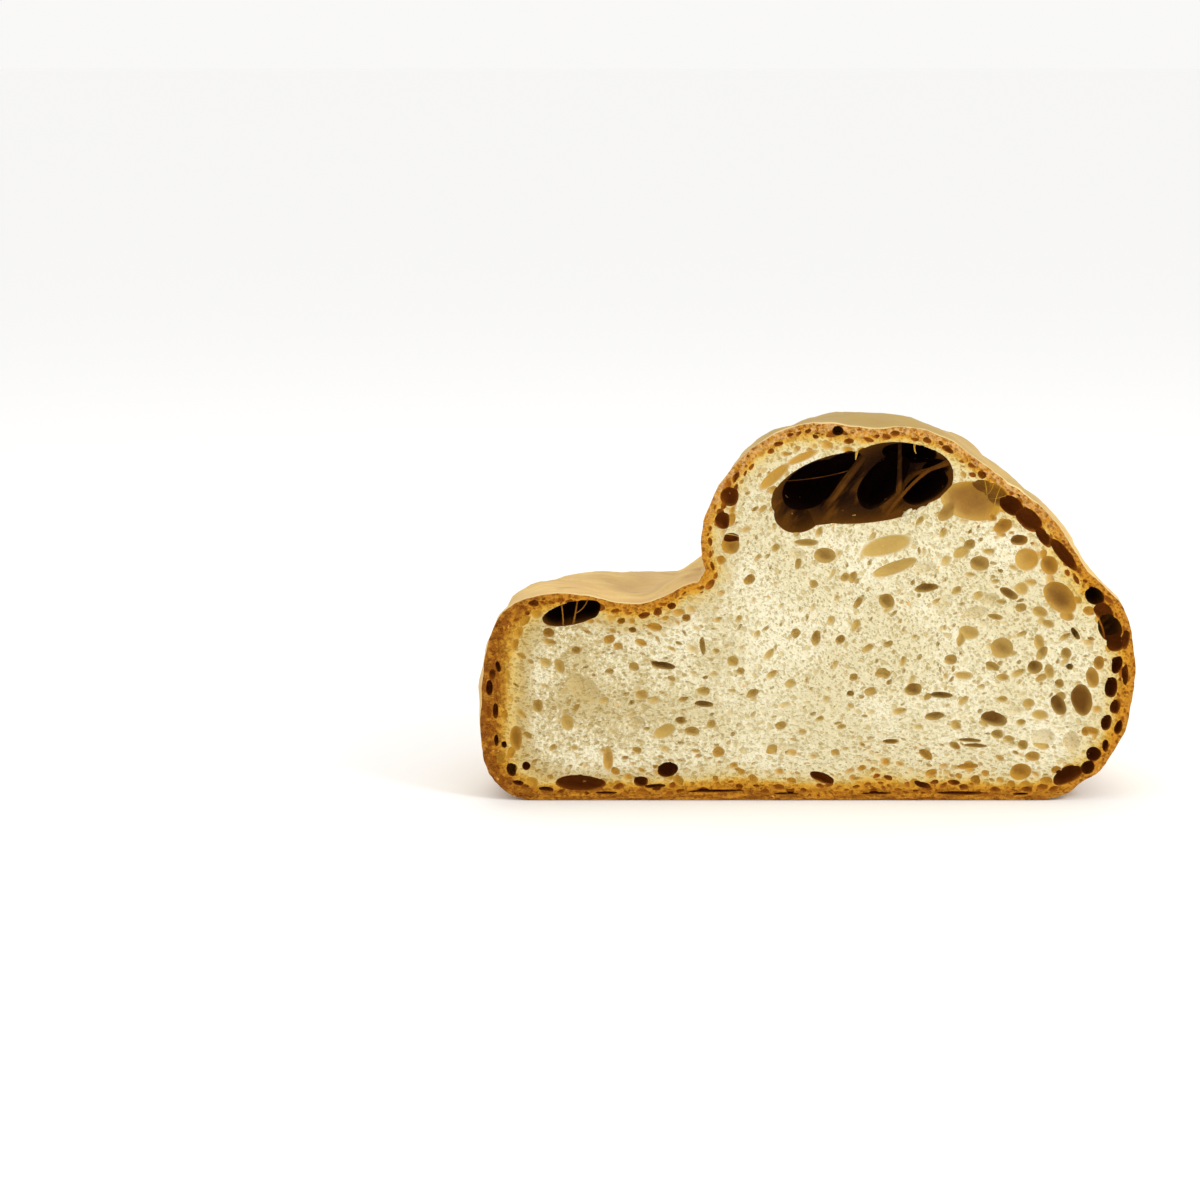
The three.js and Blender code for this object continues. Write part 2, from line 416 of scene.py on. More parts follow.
# each hole: mm across and up the cut, half sizes along and up, degrees of tilt, mm behind the cut,
# mm inwards
holes = {
    "crown": [
        (9.7, 115.3, 23.5, 12.6, 17, 2, 13), (32.7, 120.4, 19.6, 12.2, -4, 2, 13),
        (-4, 106, 8.5, 7, 10, 1, 12), (1.5, 115.5, 12.5, 8.2, 35, 15, 21),
        (28, 116.5, 12.5, 6.6, 48, 16, 20), (43, 114.5, 9.5, 4.6, 32, 12, 17),
        (37, 127, 10.5, 4, -4, 12, 18), (46.5, 121.6, 4.6, 3.2, 20, 8, 14), (13, 122.5, 8, 4.6, 25, 12, 14),
        (24, 108.5, 20, 5.6, 8, 2, 10),
    ],
    "den": [
        (-85.5, 69.6, 10.8, 4.5, 14, 3, 12), (-79, 70.5, 4.5, 3.6, 10, 6, 10),
        (-91, 67.8, 4, 3.2, 20, 6, 9), (104, 76, 4.2, 3.2, -35, 3, 9), (110, 64, 5, 4.6, -60, 3, 9),
        (10.2, 136.4, 2.2, 1.9, 0, 2, 5), (-107.8, 11.6, 1.9, 2.6, 10, 1, 5),
    ],
    "pocket": [
        (73, 109.3, 4.6, 3.4, -35, 2, 7), (79.5, 104, 5.6, 3.6, -42, 1, 6), (85, 97.6, 4.5, 2, -50, 1, 4),
        (92.4, 91.4, 8, 2.2, -50, 1, 4), (107.5, 70, 4.2, 3.2, -50, 1, 5), (112, 58.8, 3.4, 3.4, 10, 2, 7),
        (115.6, 60, 1.7, 3.6, -8, 1, 4), (112.8, 50.6, 3.6, 2.2, 80, 2, 6), (111, 42.4, 4, 2.6, 85, 2, 7),
        (112.6, 35, 2.6, 2.1, 80, 1, 4), (109.6, 29.2, 3.2, 1.9, 80, 1, 5), (114, 27.4, 2.9, 1.5, 75, 1, 4),
        (105.2, 17.4, 3.1, 2.8, 60, 2, 6), (103.2, 12.4, 2.9, 2.6, 60, 2, 6), (96, 9.4, 6, 3.1, 25, 2, 7),
        (109.4, 20.6, 1.3, 2.4, 0, 1, 4), (-82.5, 6.6, 9.6, 3, -2, 1, 6), (-60.3, 7.1, 2.6, 2.1, 0, 1, 4),
        (-50.5, 11.6, 4, 3, 15, 2, 7), (-102.3, 13, 1.6, 1.7, 0, 1, 4), (-28.6, 112.4, 3.3, 3.7, 0, 1, 4),
        (-31, 103.7, 2.8, 3.3, 0, 1, 4), (-27.8, 97, 2.9, 2.4, 0, 1, 4), (6, 8.6, 5, 1.9, -20, 1, 4),
        (-115.6, 42, 1.3, 3.2, 0, 1, 4), (116, 47, 1.2, 4, 0, 1, 3), (-113.4, 33.5, 1.1, 3.2, 0, 1, 3),
        (-110.4, 21, 1.1, 1.4, 0, 1, 3), (-113.2, 22.6, 0.9, 2.4, 0, 1, 3),
        (-105.2, 6.6, 2, 1.1, -10, 1, 3), (-95, 4.3, 3, 1, -4, 1, 3), (-112.4, 50, 1, 2.2, 10, 1, 3),
        (-73, 2.9, 4, 0.6, 0, 1, 3), (-55, 5.4, 4, 0.9, 3, 1, 3), (-33, 3.6, 11, 0.6, 1, 1, 3),
        (-7, 2.6, 5, 0.5, -1, 1, 3), (26, 2.7, 6, 0.5, 1, 1, 3), (43, 5.8, 3.2, 1.3, -14, 1, 3),
        (57, 2.8, 8.5, 0.8, 0, 1, 3), (79, 2.5, 3, 0.5, 2, 1, 3),
    ],
    "cell": [
        (59, 110.8, 11.6, 7.4, -8, 0, 6), (67.5, 112.5, 5, 4, -40, 1, 6), (62.8, 116, 4, 3, -20, 2, 5),
        (-12.5, 119.8, 8, 2, 42, -0.5, 3), (-2.5, 126.6, 7, 1.7, 22, -0.5, 2.6),
        (52, 109, 7.5, 2.6, 48, 0, 5), (-28.2, 94.6, 3.5, 3.2, 0, 0, 4), (100.4, 37.6, 6.1, 4, 105, 1, 6),
        (92, 35.7, 4.1, 2.7, 115, 1, 5), (68.5, 30.5, 5, 2.8, -15, 1, 5), (70.8, 56.8, 4.2, 3.9, 0, 0, 4),
        (91.6, 75.4, 7.4, 4.6, -45, 0, 5.5), (79, 89.4, 4.8, 4.5, 0, -1, 4.5),
        (87.4, 87.3, 3.9, 3, -65, 0, 4), (28.2, 94.3, 11, 4.2, 12, -1.5, 4.5),
        (31.2, 86.4, 9.4, 2.4, 20, -0.5, 3.5), (6.1, 91, 4.2, 2.8, 0, 0, 4),
        (-0.7, 95.7, 4.6, 1.4, 0, 0, 3), (28.7, 74.2, 3.2, 2.6, -40, 0, 4), (43, 79.1, 4.6, 1.6, 8, 0.5, 4),
        (72.9, 77, 3.7, 1.7, -30, 0.5, 4), (77.4, 78.8, 3.2, 2.8, 0, -1, 3.2),
        (55.4, 92, 3.5, 2.3, 20, -0.5, 3), (62, 88, 3.6, 2.8, 0, 0, 4), (76.2, 96.6, 3.2, 2.1, 0, 1, 4),
        (-52.3, 50.4, 4.6, 1.4, -8, 0.5, 5), (-37.4, 36.1, 3.5, 1.3, -6, 0.5, 4),
        (-38, 57.6, 1.1, 3.5, 5, 0, 3), (-51.5, 26, 5, 2.7, 30, -1, 3.5), (-45.9, 30, 1.9, 1.5, 0, 0.5, 3),
        (-41.8, 26, 2.8, 1.7, 0, 0, 3), (-27, 52, 2.2, 2, 0, 0, 2.5), (38.9, 41.5, 3.2, 2.4, 10, 0.5, 4),
        (49.2, 39.4, 4.2, 1.3, -4, 0.5, 4), (83, 49.8, 2.9, 2.5, 15, 0.5, 4),
        (88.3, 48.2, 2, 2.9, 10, -0.5, 3), (94.2, 54.9, 2.1, 2.2, 0, 0, 3), (95.6, 50, 1.4, 1.3, 0, 1, 3),
        (97.4, 62.2, 2.6, 1.1, -55, 1, 4), (57.2, 46.6, 3.6, 1.8, 0, -0.5, 2.5),
        (52.3, 52.6, 2.5, 2, 0, 0, 3), (83, 16.5, 2.9, 2, 0, 0, 3), (78.7, 10.8, 4.2, 3.1, 10, 0, 4),
        (30.9, 22.1, 2.9, 1, 0, 0.5, 3), (-72.3, 15.7, 2.1, 4.8, 0, -0.5, 3),
        (-87.3, 29.2, 2.4, 3.4, 10, -0.5, 3), (-106, 23.3, 2.3, 4.9, 0, 0, 4),
        (59.8, 22.6, 4.3, 0.8, -3, 0, 3), (62, 20.6, 4.6, 0.8, -3, 0, 3), (59.2, 12.8, 4, 1.2, 4, 0, 3),
        (-94, 62.6, 2.2, 1.8, 0, 0.5, 3), (-63.5, 63.6, 1.5, 1.1, 0, 0.5, 2.5),
        (-67.6, 66.9, 1.6, 1.2, 20, 0.5, 2.5), (-44, 68, 1.6, 1.5, 0, 0.5, 2.5),
        (13.5, 83, 2, 1.6, 40, 0, 2.5), (84.4, 70.2, 3.2, 2, -20, -0.5, 3),
        (84.4, 58.9, 2.1, 3.2, 10, -0.5, 3), (106.2, 51.4, 2.1, 2.7, 0, 0, 3.5),
        (104, 45.8, 2.4, 4, 10, -0.3, 4), (92.1, 43.7, 1.8, 1.8, 0, 0, 3),
        (85.3, 31.9, 3.6, 2.3, -15, -0.8, 3), (81, 36.2, 2.5, 2.1, 0, -0.3, 2.6),
        (69.9, 24.8, 2.4, 1.8, 0, 0, 3), (79.3, 20.8, 2, 2, 0, 0, 3), (102, 25.9, 1.6, 1.8, 0, 0, 3),
        (70.2, 101.6, 3.8, 2.4, 25, 0, 4), (68.2, 68.4, 3, 1.2, -10, 0, 2.5),
        (67.5, 50.2, 2.8, 1.5, -25, 0, 3), (58.5, 62.5, 4.2, 2.8, -10, -0.8, 3.5),
        (87.5, 65.8, 2.6, 1.6, -15, -0.3, 2.5), (71.4, 46, 2.6, 1.5, 0, -0.3, 2.5),
        (-98, 35.4, 2, 2.6, 0, 0, 3), (-72, 60, 2.4, 1.8, 20, -0.3, 3), (-84, 56, 1.8, 1.6, 0, 0, 3),
        (-90, 50, 2, 3, 20, -0.5, 3), (-60, 39.5, 2.6, 2, 10, -0.6, 3), (12, 60, 2.1, 1.6, 40, 0, 3),
        (29, 47, 1.9, 1.3, 45, 0, 2.5), (16, 40, 1.4, 1.2, 0, 0.5, 2.5),
    ],
    "dish": [
        (-81.5, 41.8, 10, 5.6, -40, -3, 5.5), (86.6, 23.2, 5.2, 4, 0, -1.5, 4),
        (97, 22, 3.6, 4.6, 0, -1.5, 4), (42, 86.5, 6, 3, 8, -1.5, 3), (49, 73, 6.5, 4, 35, -2.5, 4),
        (61, 70, 5, 2.6, 10, -1, 3), (-62, 29, 3.6, 3, 0, -1, 3), (-8, 20, 9, 1.8, -3, -0.8, 2),
        (76, 33.5, 4.4, 2, -4, -0.8, 2.2), (-50, 66.5, 5.5, 2.6, -8, -1.5, 3),
        (-4, 91.5, 3.4, 2.6, 0, -1, 2.6), (66, 75, 4.5, 2.6, 10, -1.2, 3),
    ],
}

# for each kind: the tone its faces carry, and how finely and how lumpily it is rounded
# a tone of 0.9 and up takes the crown hollow's painted shade, and one from about 0.5 the crust pocket's
# colours; strands use the same scale
holeKinds = {
    "crown": {"tone": 1.0, "detail": 4, "lumps": 0.1},
    "den": {"tone": 0.97, "detail": 3, "lumps": 0.16},
    "pocket": {"tone": 0.85, "detail": 3, "lumps": 0.16},
    "cell": {"tone": 0.4, "detail": 3, "lumps": 0.14},
    "dish": {"tone": 0.1, "detail": 3, "lumps": 0.12},
}

# strewn holes: mm between centres, range of radius in mm and its power, range of stretch, band of mm below
# the crust, how far behind the cut in shares of the radius, mm of crust beside which they lie along it
strewn = {
    "crustPits": dict(spacing=1.7, low=0.3, high=0.75, power=1.6, stretch=(1.2, 2.4), band=(0.5, 4.2),
                      sink=(0.0, 0.5), along=30, detail=1, tone=0.88, seed=11),
    "crustCells": dict(spacing=3.1, low=0.8, high=1.7, power=1.5, stretch=(1.2, 2.3), band=(2.2, 5.4),
                       sink=(0.0, 0.6), along=30, detail=2, tone=0.76, seed=23),
    "underCrust": dict(spacing=4.4, low=1.1, high=2.0, power=1.3, stretch=(1.1, 1.7), band=(5.4, 10),
                       sink=(-0.3, 0.4), along=20, detail=2, tone=0.35, seed=5),
    "bigPores": dict(spacing=7.5, low=1.3, high=2.3, power=1.7, stretch=(1.2, 2.2), band=(8, 90),
                     sink=(-0.5, 0.35), along=14, detail=2, tone=0.3, seed=41),
    "pores": dict(spacing=3.35, low=0.6, high=1.2, power=1.6, stretch=(1.2, 2.4), band=(5, 90),
                  sink=(-0.35, 0.45), along=12, detail=1, tone=0.28, seed=67),
    "finePores": dict(spacing=2.8, low=0.32, high=0.6, power=1.2, stretch=(1.1, 2.4), band=(4.5, 90),
                      sink=(-0.2, 0.5), along=10, detail=1, tone=0.22, seed=83),
}
strewnLumps = 0.32
bubbleVariants = 6
climbAngle = math.radians(52)  # how steeply the crumb climbs in the middle


def bubbleTree():
    # a few lumpy variants of one bubble, each its own instance; Tone is kept on its faces
    tree, given, out = newTree("bubbles", "GeometryNodeTree", {
        "Detail": 2, "Lumps": 0.2, "Tone": 0.3, "Seed": 0.0,
    }, {"Instances": None})
    gather = put(tree, "GeometryNodeGeometryToInstance")
    for variant in range(bubbleVariants):
        ball = put(tree, "GeometryNodeMeshIcoSphere", {
            "Radius": 1.0, "Subdivisions": given["Detail"]}).outputs[0]
        place = position(tree)
        apart = vec(tree, "ADD", given["Seed"], (variant * 3.7, variant * 1.3, variant * 2.9))
        waves = texture(tree, vec(tree, "ADD", vec(tree, "SCALE", place, None, None, 0.75), apart), 0.0)
        push = vec(tree, "SCALE", vec(tree, "SUBTRACT", waves["Color"], (0.5, 0.5, 0.5)), None, None,
                   times(tree, given["Lumps"], 2.0))
        toned = store(tree, shift(tree, ball, push), "hollow", given["Tone"])
        tree.links.new(toned, gather.inputs[0])
    feed(tree, out.inputs[0], gather.outputs[0])
    return tree


def flowAngle(tree, place, seed):
    # the crumb's own flow: level over the base, climbing to the right in the middle, wandering a little
    apart = split(tree, place)
    climb = times(tree, ramp(tree, apart["Z"], 20 * mm, 52 * mm),
                  ramp(tree, apart["X"], -50 * mm, -5 * mm))
    climb = times(tree, climb, ramp(tree, apart["X"], 78 * mm, 45 * mm))
    waves = texture(tree, vec(tree, "ADD", place, seed), 0.0, 32.0)[0]
    wander = times(tree, minus(tree, waves, 0.5), 2.4)
    return plus(tree, times(tree, climb, climbAngle), wander)


def strewnTree():
    # one layer of holes strewn over the cut between two depths below the crust, lying along it near by
    tree, given, out = newTree("strewnHoles", "GeometryNodeTree", {
        "Sheet": None, "Crust": None, "Bubbles": None,
        "Spacing": 0.003, "Smallest": 0.001, "Largest": 0.002,
        "Power": 1.5, "Stretch low": 1.0, "Stretch high": 2.0,
        "Depth from": 0.0, "Depth to": 0.09, "Sink low": 0.0,
        "Sink high": 0.5, "Along": 0.01, "Seed": 1,
    }, {"Instances": None})
    seed = given["Seed"]
    strew = put(tree, "GeometryNodeDistributePointsOnFaces", {
        "Mesh": given["Sheet"], "Distance Min": given["Spacing"], "Density Max": 4e6, "Seed": seed,
    }, distribute_method="POISSON")
    place = position(tree)
    near = put(tree, "GeometryNodeProximity", {0: given["Crust"]}, target_element="FACES")
    distance = near.outputs["Distance"]
    outOfBand = plus(tree, below(tree, distance, given["Depth from"]),
                     above(tree, distance, given["Depth to"]))
    kept = drop(tree, strew.outputs["Points"], above(tree, outOfBand, 0.5), "POINT")

    towards = split(tree, vec(tree, "SUBTRACT", near.outputs["Position"], place))
    tangent = plus(tree, calc(tree, "ARCTAN2", towards["Z"], towards["X"]), math.pi / 2)
    flow = flowAngle(tree, place, (0.3, 0.1, 0.7))
    share = ramp(tree, distance, times(tree, given["Along"], 0.4), given["Along"])
    turned = []
    for operation in ("COSINE", "SINE"):  # doubled angles, as a hole lies the same either way round
        pair = [calc(tree, operation, times(tree, angle, 2.0)) for angle in (tangent, flow)]
        turned.append(plus(tree, times(tree, pair[0], minus(tree, 1.0, share)),
                           times(tree, pair[1], share)))
    angle = times(tree, calc(tree, "ARCTAN2", turned[1], turned[0]), -0.5)
    jitter = chance(tree, -0.35, 0.35, seed, 3)
    turn = join(tree, y=plus(tree, angle, jitter))

    grown = calc(tree, "POWER", chance(tree, 0.0, 1.0, seed, 1), given["Power"])
    size = plus(tree, given["Smallest"], times(
        tree, minus(tree, given["Largest"], given["Smallest"]), grown))
    stretch = chance(tree, given["Stretch low"], given["Stretch high"], seed, 2)
    narrow = calc(tree, "POWER", stretch, -0.35)
    scale = join(tree, times(tree, size, calc(tree, "POWER", stretch, 0.65)),
                 times(tree, size, chance(tree, 0.8, 1.3, seed, 5)), times(tree, size, narrow))
    sink = join(tree, y=times(tree, size, chance(tree, given["Sink low"], given["Sink high"], seed, 4)))
    feed(tree, out.inputs[0], spread(tree, shift(tree, kept, sink), given["Bubbles"], turn, scale, seed))
    return tree


def spread(tree, points, bubbles, turn, scale, seed):
    # one bubble of the variants on each point
    return put(tree, "GeometryNodeInstanceOnPoints", {
        "Points": points, "Instance": bubbles, "Pick Instance": True,
        "Instance Index": chance(tree, 0, bubbleVariants - 1, seed, 6, kind="INT"),
        "Rotation": put(tree, "FunctionNodeEulerToRotation", {0: turn}).outputs[0], "Scale": scale,
    }).outputs[0]


def chance(tree, low, high, seed, salt, kind="FLOAT"):
    # one random number for each point; the salt keeps the draws apart
    mixed = put(tree, "FunctionNodeIntegerMath", {0: seed, 1: salt * 101}, operation="ADD").outputs[0]
    return pick(put(tree, "FunctionNodeRandomValue", {"Min": low, "Max": high, "Seed": mixed},
                    data_type=kind).outputs, "Value")


def holePoints():
    # the listed holes, as points that carry their size, tilt and tone
    points, sizes, tilts, tones = [], [], [], []
    for kind, rows in holes.items():
        for across, up, along, upwards, tilt, behind, inwards in rows:
            points.append((across * mm, cutPlane + behind * mm, up * mm))
            sizes.append((along * mm, inwards * mm, upwards * mm))
            tilts.append((0.0, -math.radians(tilt), 0.0))
            tones.append(holeKinds[kind]["tone"])
    mesh = bpy.data.meshes.new("holePoints")
    mesh.from_pydata(points, [], [])
    for name, values in (("size", sizes), ("turn", tilts)):
        mesh.attributes.new(name, "FLOAT_VECTOR", "POINT").data.foreach_set("vector", np.ravel(values))
    mesh.attributes.new("tone", "FLOAT", "POINT").data.foreach_set("value", tones)
    return mesh


def placedTree():
    # the listed holes whose tone lies in a range; each point says its size and turn
    tree, given, out = newTree("placedHoles", "GeometryNodeTree", {
        "Points": None, "Bubbles": None,
        "Tone from": 0.0, "Tone to": 1.0, "Seed": 1,
    }, {"Instances": None})
    tone = stored(tree, "tone")
    other = plus(tree, below(tree, tone, given["Tone from"]),
                 above(tree, tone, given["Tone to"]))
    kept = drop(tree, given["Points"], above(tree, other, 0.5), "POINT")
    points = put(tree, "GeometryNodeMeshToPoints", {"Mesh": kept}).outputs[0]
    turn, size = stored(tree, "turn", "FLOAT_VECTOR"), stored(tree, "size", "FLOAT_VECTOR")
    feed(tree, out.inputs[0], spread(tree, points, given["Bubbles"], turn, size, given["Seed"]))
    return tree


def knifeTree():
    # the block that the knife takes away; its far side is the cut, pulled about a little
    tree, given, out = newTree("knife", "GeometryNodeTree", {
        "Size": (0.3, 0.03, 0.2), "Middle": (0, 0, 0), "Step": 0.003,
        "Pull": 0.0005, "Pull size": 0.01,
    }, {"Mesh": None})
    size = split(tree, given["Size"])
    across, up = [put(tree, "FunctionNodeFloatToInt", {
        0: calc(tree, "DIVIDE", size[axis], given["Step"])}).outputs[0] for axis in ("X", "Z")]
    block = put(tree, "GeometryNodeMeshCube", {
        "Size": given["Size"], "Vertices X": across, "Vertices Y": 2, "Vertices Z": up}).outputs[0]
    place = position(tree)
    waves = texture(tree, vec(tree, "DIVIDE", place, given["Pull size"]), 2.0)[0]
    farSide = above(tree, split(tree, place)["Y"], 0.0)
    pulled = shift(tree, block, join(tree, y=times(tree, waves, given["Pull"])), farSide)
    moved = put(tree, "GeometryNodeTransform", {"Geometry": pulled, "Translation": given["Middle"]})
    feed(tree, out.inputs[0], moved.outputs[0])
    return tree


def group(tree, inner, sockets):
    return put(tree, "GeometryNodeGroup", sockets, node_tree=inner).outputs[0]


cutting = {
    "knife": (300, 30, 200),  # mm, the block that is cut away
    "knifeMiddle": 70,  # mm above the floor
    "knifeStep": 3.5,  # mm between its points
    "knifePull": 0.5,  # mm that the cut is pulled about
    "pullSize": 12,  # mm
    "looseFaces": 100,  # a crumb with fewer faces is dropped
    "seed": 3,
    "sharpAngle": 42,
}


def loafTree(crustFinish, crumbFinish):
    # knife and holes are taken out of the skin; each face keeps where it came from, for its finish
    tree, given, out = newTree("cutLoaf", "GeometryNodeTree", {
        "Geometry": None, "Sheet": "Object", "Points": "Object",
        "Strands": "Object", "Knife size": (0.3, 0.03, 0.2),
        "Knife middle": (0, 0, 0), "Knife step": 0.003,
        "Knife pull": 0.0005, "Pull size": 0.01, "Seed": 1,
    }, {"Geometry": None})
    skinOnly = store(tree, given["Geometry"], "outside", 1.0)
    # the crust that depths are measured from: the skin without the closed front end
    place = position(tree)
    depth = split(tree, place)["Y"]
    facing = split(tree, put(tree, "GeometryNodeInputNormal").outputs[0])["Y"]
    atFront = times(tree, below(tree, depth, cutPlane - 4 * mm),
                   below(tree, facing, -0.6))
    openSkin = drop(tree, skinOnly, above(tree, atFront, 0.5), "FACE")
    sheetForm, pointForm, strandForm = [
        put(tree, "GeometryNodeObjectInfo", {"Object": given[name]}).outputs["Geometry"]
        for name in ("Sheet", "Points", "Strands")]

    bubbles, strew, placed = bubbleTree(), strewnTree(), placedTree()
    cutters = [group(tree, knifeTree(), {
        "Size": given["Knife size"], "Middle": given["Knife middle"], "Step": given["Knife step"],
        "Pull": given["Knife pull"], "Pull size": given["Pull size"]})]
    for kind in holeKinds.values():
        balls = group(tree, bubbles, {
            "Detail": kind["detail"], "Lumps": kind["lumps"], "Tone": kind["tone"], "Seed": 7.3})
        cutters.append(group(tree, placed, {
            "Points": pointForm, "Bubbles": balls, "Tone from": kind["tone"] - 0.01,
            "Tone to": kind["tone"] + 0.01, "Seed": given["Seed"]}))
    for layer in strewn.values():
        balls = group(tree, bubbles, {
            "Detail": layer["detail"], "Lumps": strewnLumps, "Tone": layer["tone"],
            "Seed": layer["seed"] * 1.7})
        cutters.append(group(tree, strew, {
            "Sheet": sheetForm, "Crust": openSkin, "Bubbles": balls, "Spacing": layer["spacing"] * mm,
            "Smallest": layer["low"] * mm, "Largest": layer["high"] * mm, "Power": layer["power"],
            "Stretch low": layer["stretch"][0], "Stretch high": layer["stretch"][1],
            "Depth from": layer["band"][0] * mm, "Depth to": layer["band"][1] * mm,
            "Sink low": layer["sink"][0], "Sink high": layer["sink"][1], "Along": layer["along"] * mm,
            "Seed": put(tree, "FunctionNodeIntegerMath", {0: given["Seed"], 1: layer["seed"]},
                        operation="ADD").outputs[0],
        }))
    cut = put(tree, "GeometryNodeMeshBoolean", {"Mesh 1": skinOnly},
              operation="DIFFERENCE", solver="MANIFOLD")
    for cutter in cutters:
        tree.links.new(cutter, pick(cut.inputs, "Mesh 2"))
    # crumbs that the holes cut loose are dropped
    island = put(tree, "GeometryNodeInputMeshIsland").outputs["Island Index"]
    counted = put(tree, "GeometryNodeAccumulateField", {"Value": 1.0, "Group ID": island},
                  data_type="FLOAT", domain="FACE")
    loose = below(tree, pick(counted.outputs, "Total"), cutting["looseFaces"])
    kept = drop(tree, cut.outputs["Mesh"], loose, "FACE")
    joined = put(tree, "GeometryNodeJoinGeometry")
    for part in (kept, strandForm):
        tree.links.new(part, joined.inputs[0])

    crustDepth = put(tree, "GeometryNodeProximity", {0: openSkin}, target_element="FACES").outputs["Distance"]
    measured = store(tree, joined.outputs[0], "crustDepth", crustDepth, "POINT")
    whole = put(tree, "GeometryNodeRealizeInstances", {"Geometry": measured}).outputs[0]
    crumb = put(tree, "GeometryNodeSetMaterial", {"Geometry": whole, "Material": crumbFinish}).outputs[0]
    baked = put(tree, "GeometryNodeSetMaterial", {
        "Geometry": crumb, "Material": crustFinish, "Selection": above(tree, stored(tree, "outside"), 0.5)})
    feed(tree, out.inputs[0], baked.outputs[0])
    return tree


# ---- strands of dough left across the hollows

strands = {
    "sides": 7,
    "rings": 9,
    "thinnest": 0.05,  # mm radius
    # start, bend and end as mm across, up and behind the cut; radius at the start, middle and end, mm; tone
    "rows": [
        ((17.5, 131.2, 3), (17.2, 128, 2.6), (16.8, 125.6, 2.4), (1.0, 0.55, 0.16), 0.4),
        ((38.2, 131.9, 3), (37.6, 129.6, 2.6), (38.6, 127.8, 2.4), (0.5, 0.34, 0.12), 0.4),
        ((-8.8, 117, 9), (4, 117.6, 8), (15.6, 120.6, 11.4), (0.2, 0.14, 0.2), 0.95),
        ((51.9, 125.2, 4.4), (45, 121.4, 6), (37.8, 118.4, 15.8), (1.7, 0.8, 1.2), 0.95),
        ((44.9, 121.6, 8), (37.5, 117, 9), (28, 103.4, 8), (0.8, 0.6, 0.9), 0.95),
        ((25, 132, 11.5), (17, 121, 11), (4.5, 103.5, 12), (1.2, 1.5, 1.2), 0.96),
        ((33.5, 132, 12), (34, 122, 13), (33.5, 110.6, 12), (0.8, 0.9, 1.4), 0.97),
        ((-89.7, 74.2, 3), (-88.6, 69.6, 2), (-88.7, 64.3, 3), (0.5, 0.22, 0.45), 0.6),
        ((-83.2, 75.6, 4), (-84, 70.6, 2.4), (-85.2, 64.4, 3), (0.5, 0.28, 0.6), 0.6),
        ((-79.4, 75.9, 3), (-80.2, 71.2, 2.6), (-84.3, 69.2, 2.9), (0.42, 0.2, 0.2), 0.6),
        ((63, 120, 2.5), (64.8, 114.2, 1.4), (64.8, 109, 6.1), (0.3, 0.12, 0.26), 0.35),
        ((66.9, 118.3, 3), (66.6, 114.2, 1.6), (64.7, 112.4, 6), (0.26, 0.12, 0.2), 0.35),
        ((70, 116.9, 2.7), (67.4, 112.6, 1.4), (67.3, 107.9, 3.6), (0.26, 0.12, 0.2), 0.35),
        ((72.8, 113.6, 2.6), (68.6, 111, 1.4), (65.4, 111.2, 5.8), (0.22, 0.1, 0.16), 0.35),
        ((105.4, 68, 3), (108.9, 62.8, 2.4), (108, 57.6, 3), (0.6, 0.36, 0.7), 0.7),
        ((-31, 98.8, 1.6), (-29.2, 99, 1), (-24.2, 97.6, 2), (0.4, 0.22, 0.34), 0.35),
        ((34.2, 103.6, 1.2), (35.8, 107, 1.4), (37.4, 107.7, 1.2), (1.2, 1.0, 0.4), 0.0),
        ((36.2, 104.2, 1.2), (37.8, 107.4, 1.4), (38.8, 107.2, 1.4), (0.9, 0.7, 0.3), 0.0),
        ((38.6, 105.2, 1.2), (40.2, 109.4, 1.4), (43.4, 108.2, 1.2), (0.8, 0.6, 0.3), 0.0),
    ],
}


def strandMesh():
    # tapered tubes, closed at both ends; they end in the bread, on another strand, or hang free
    mesh, tones = bmesh.new(), []
    for start, bend, end, radii, tone in strands["rows"]:
        before = len(mesh.faces)
        line = [Vector((x * mm, cutPlane + y * mm, z * mm)) for x, z, y in (start, bend, end)]
        rings = []
        for step in range(strands["rings"] + 1):
            t = step / strands["rings"]
            place = line[0] * (1 - t) ** 2 + line[1] * (2 * t * (1 - t)) + line[2] * t ** 2
            along = ((line[1] - line[0]) * (1 - t) + (line[2] - line[1]) * t).normalized()
            side = along.cross(Vector((0, 1, 0))).normalized()
            up = along.cross(side)
            radius = (radii[0] * (1 - t) * (1 - 2 * t) + radii[1] * 4 * t * (1 - t)
                      + radii[2] * t * (2 * t - 1))
            radius = max(radius, strands["thinnest"]) * mm
            turns = [2 * math.pi * k / strands["sides"] for k in range(strands["sides"])]
            rings.append([mesh.verts.new(place + (side * math.cos(turn) + up * math.sin(turn)) * radius)
                          for turn in turns])
        for near, far in zip(rings, rings[1:]):
            for k in range(len(near)):
                mesh.faces.new((near[k], near[k - 1], far[k - 1], far[k]))
        mesh.faces.new(rings[0])
        mesh.faces.new(rings[-1][::-1])
        tones += [tone] * (len(mesh.faces) - before)
    bmesh.ops.recalc_face_normals(mesh, faces=mesh.faces)
    result = bpy.data.meshes.new("strands")
    mesh.to_mesh(result)
    mesh.free()
    result.attributes.new("hollow", "FLOAT", "FACE").data.foreach_set("value", tones)
    return result


# ---- finishes

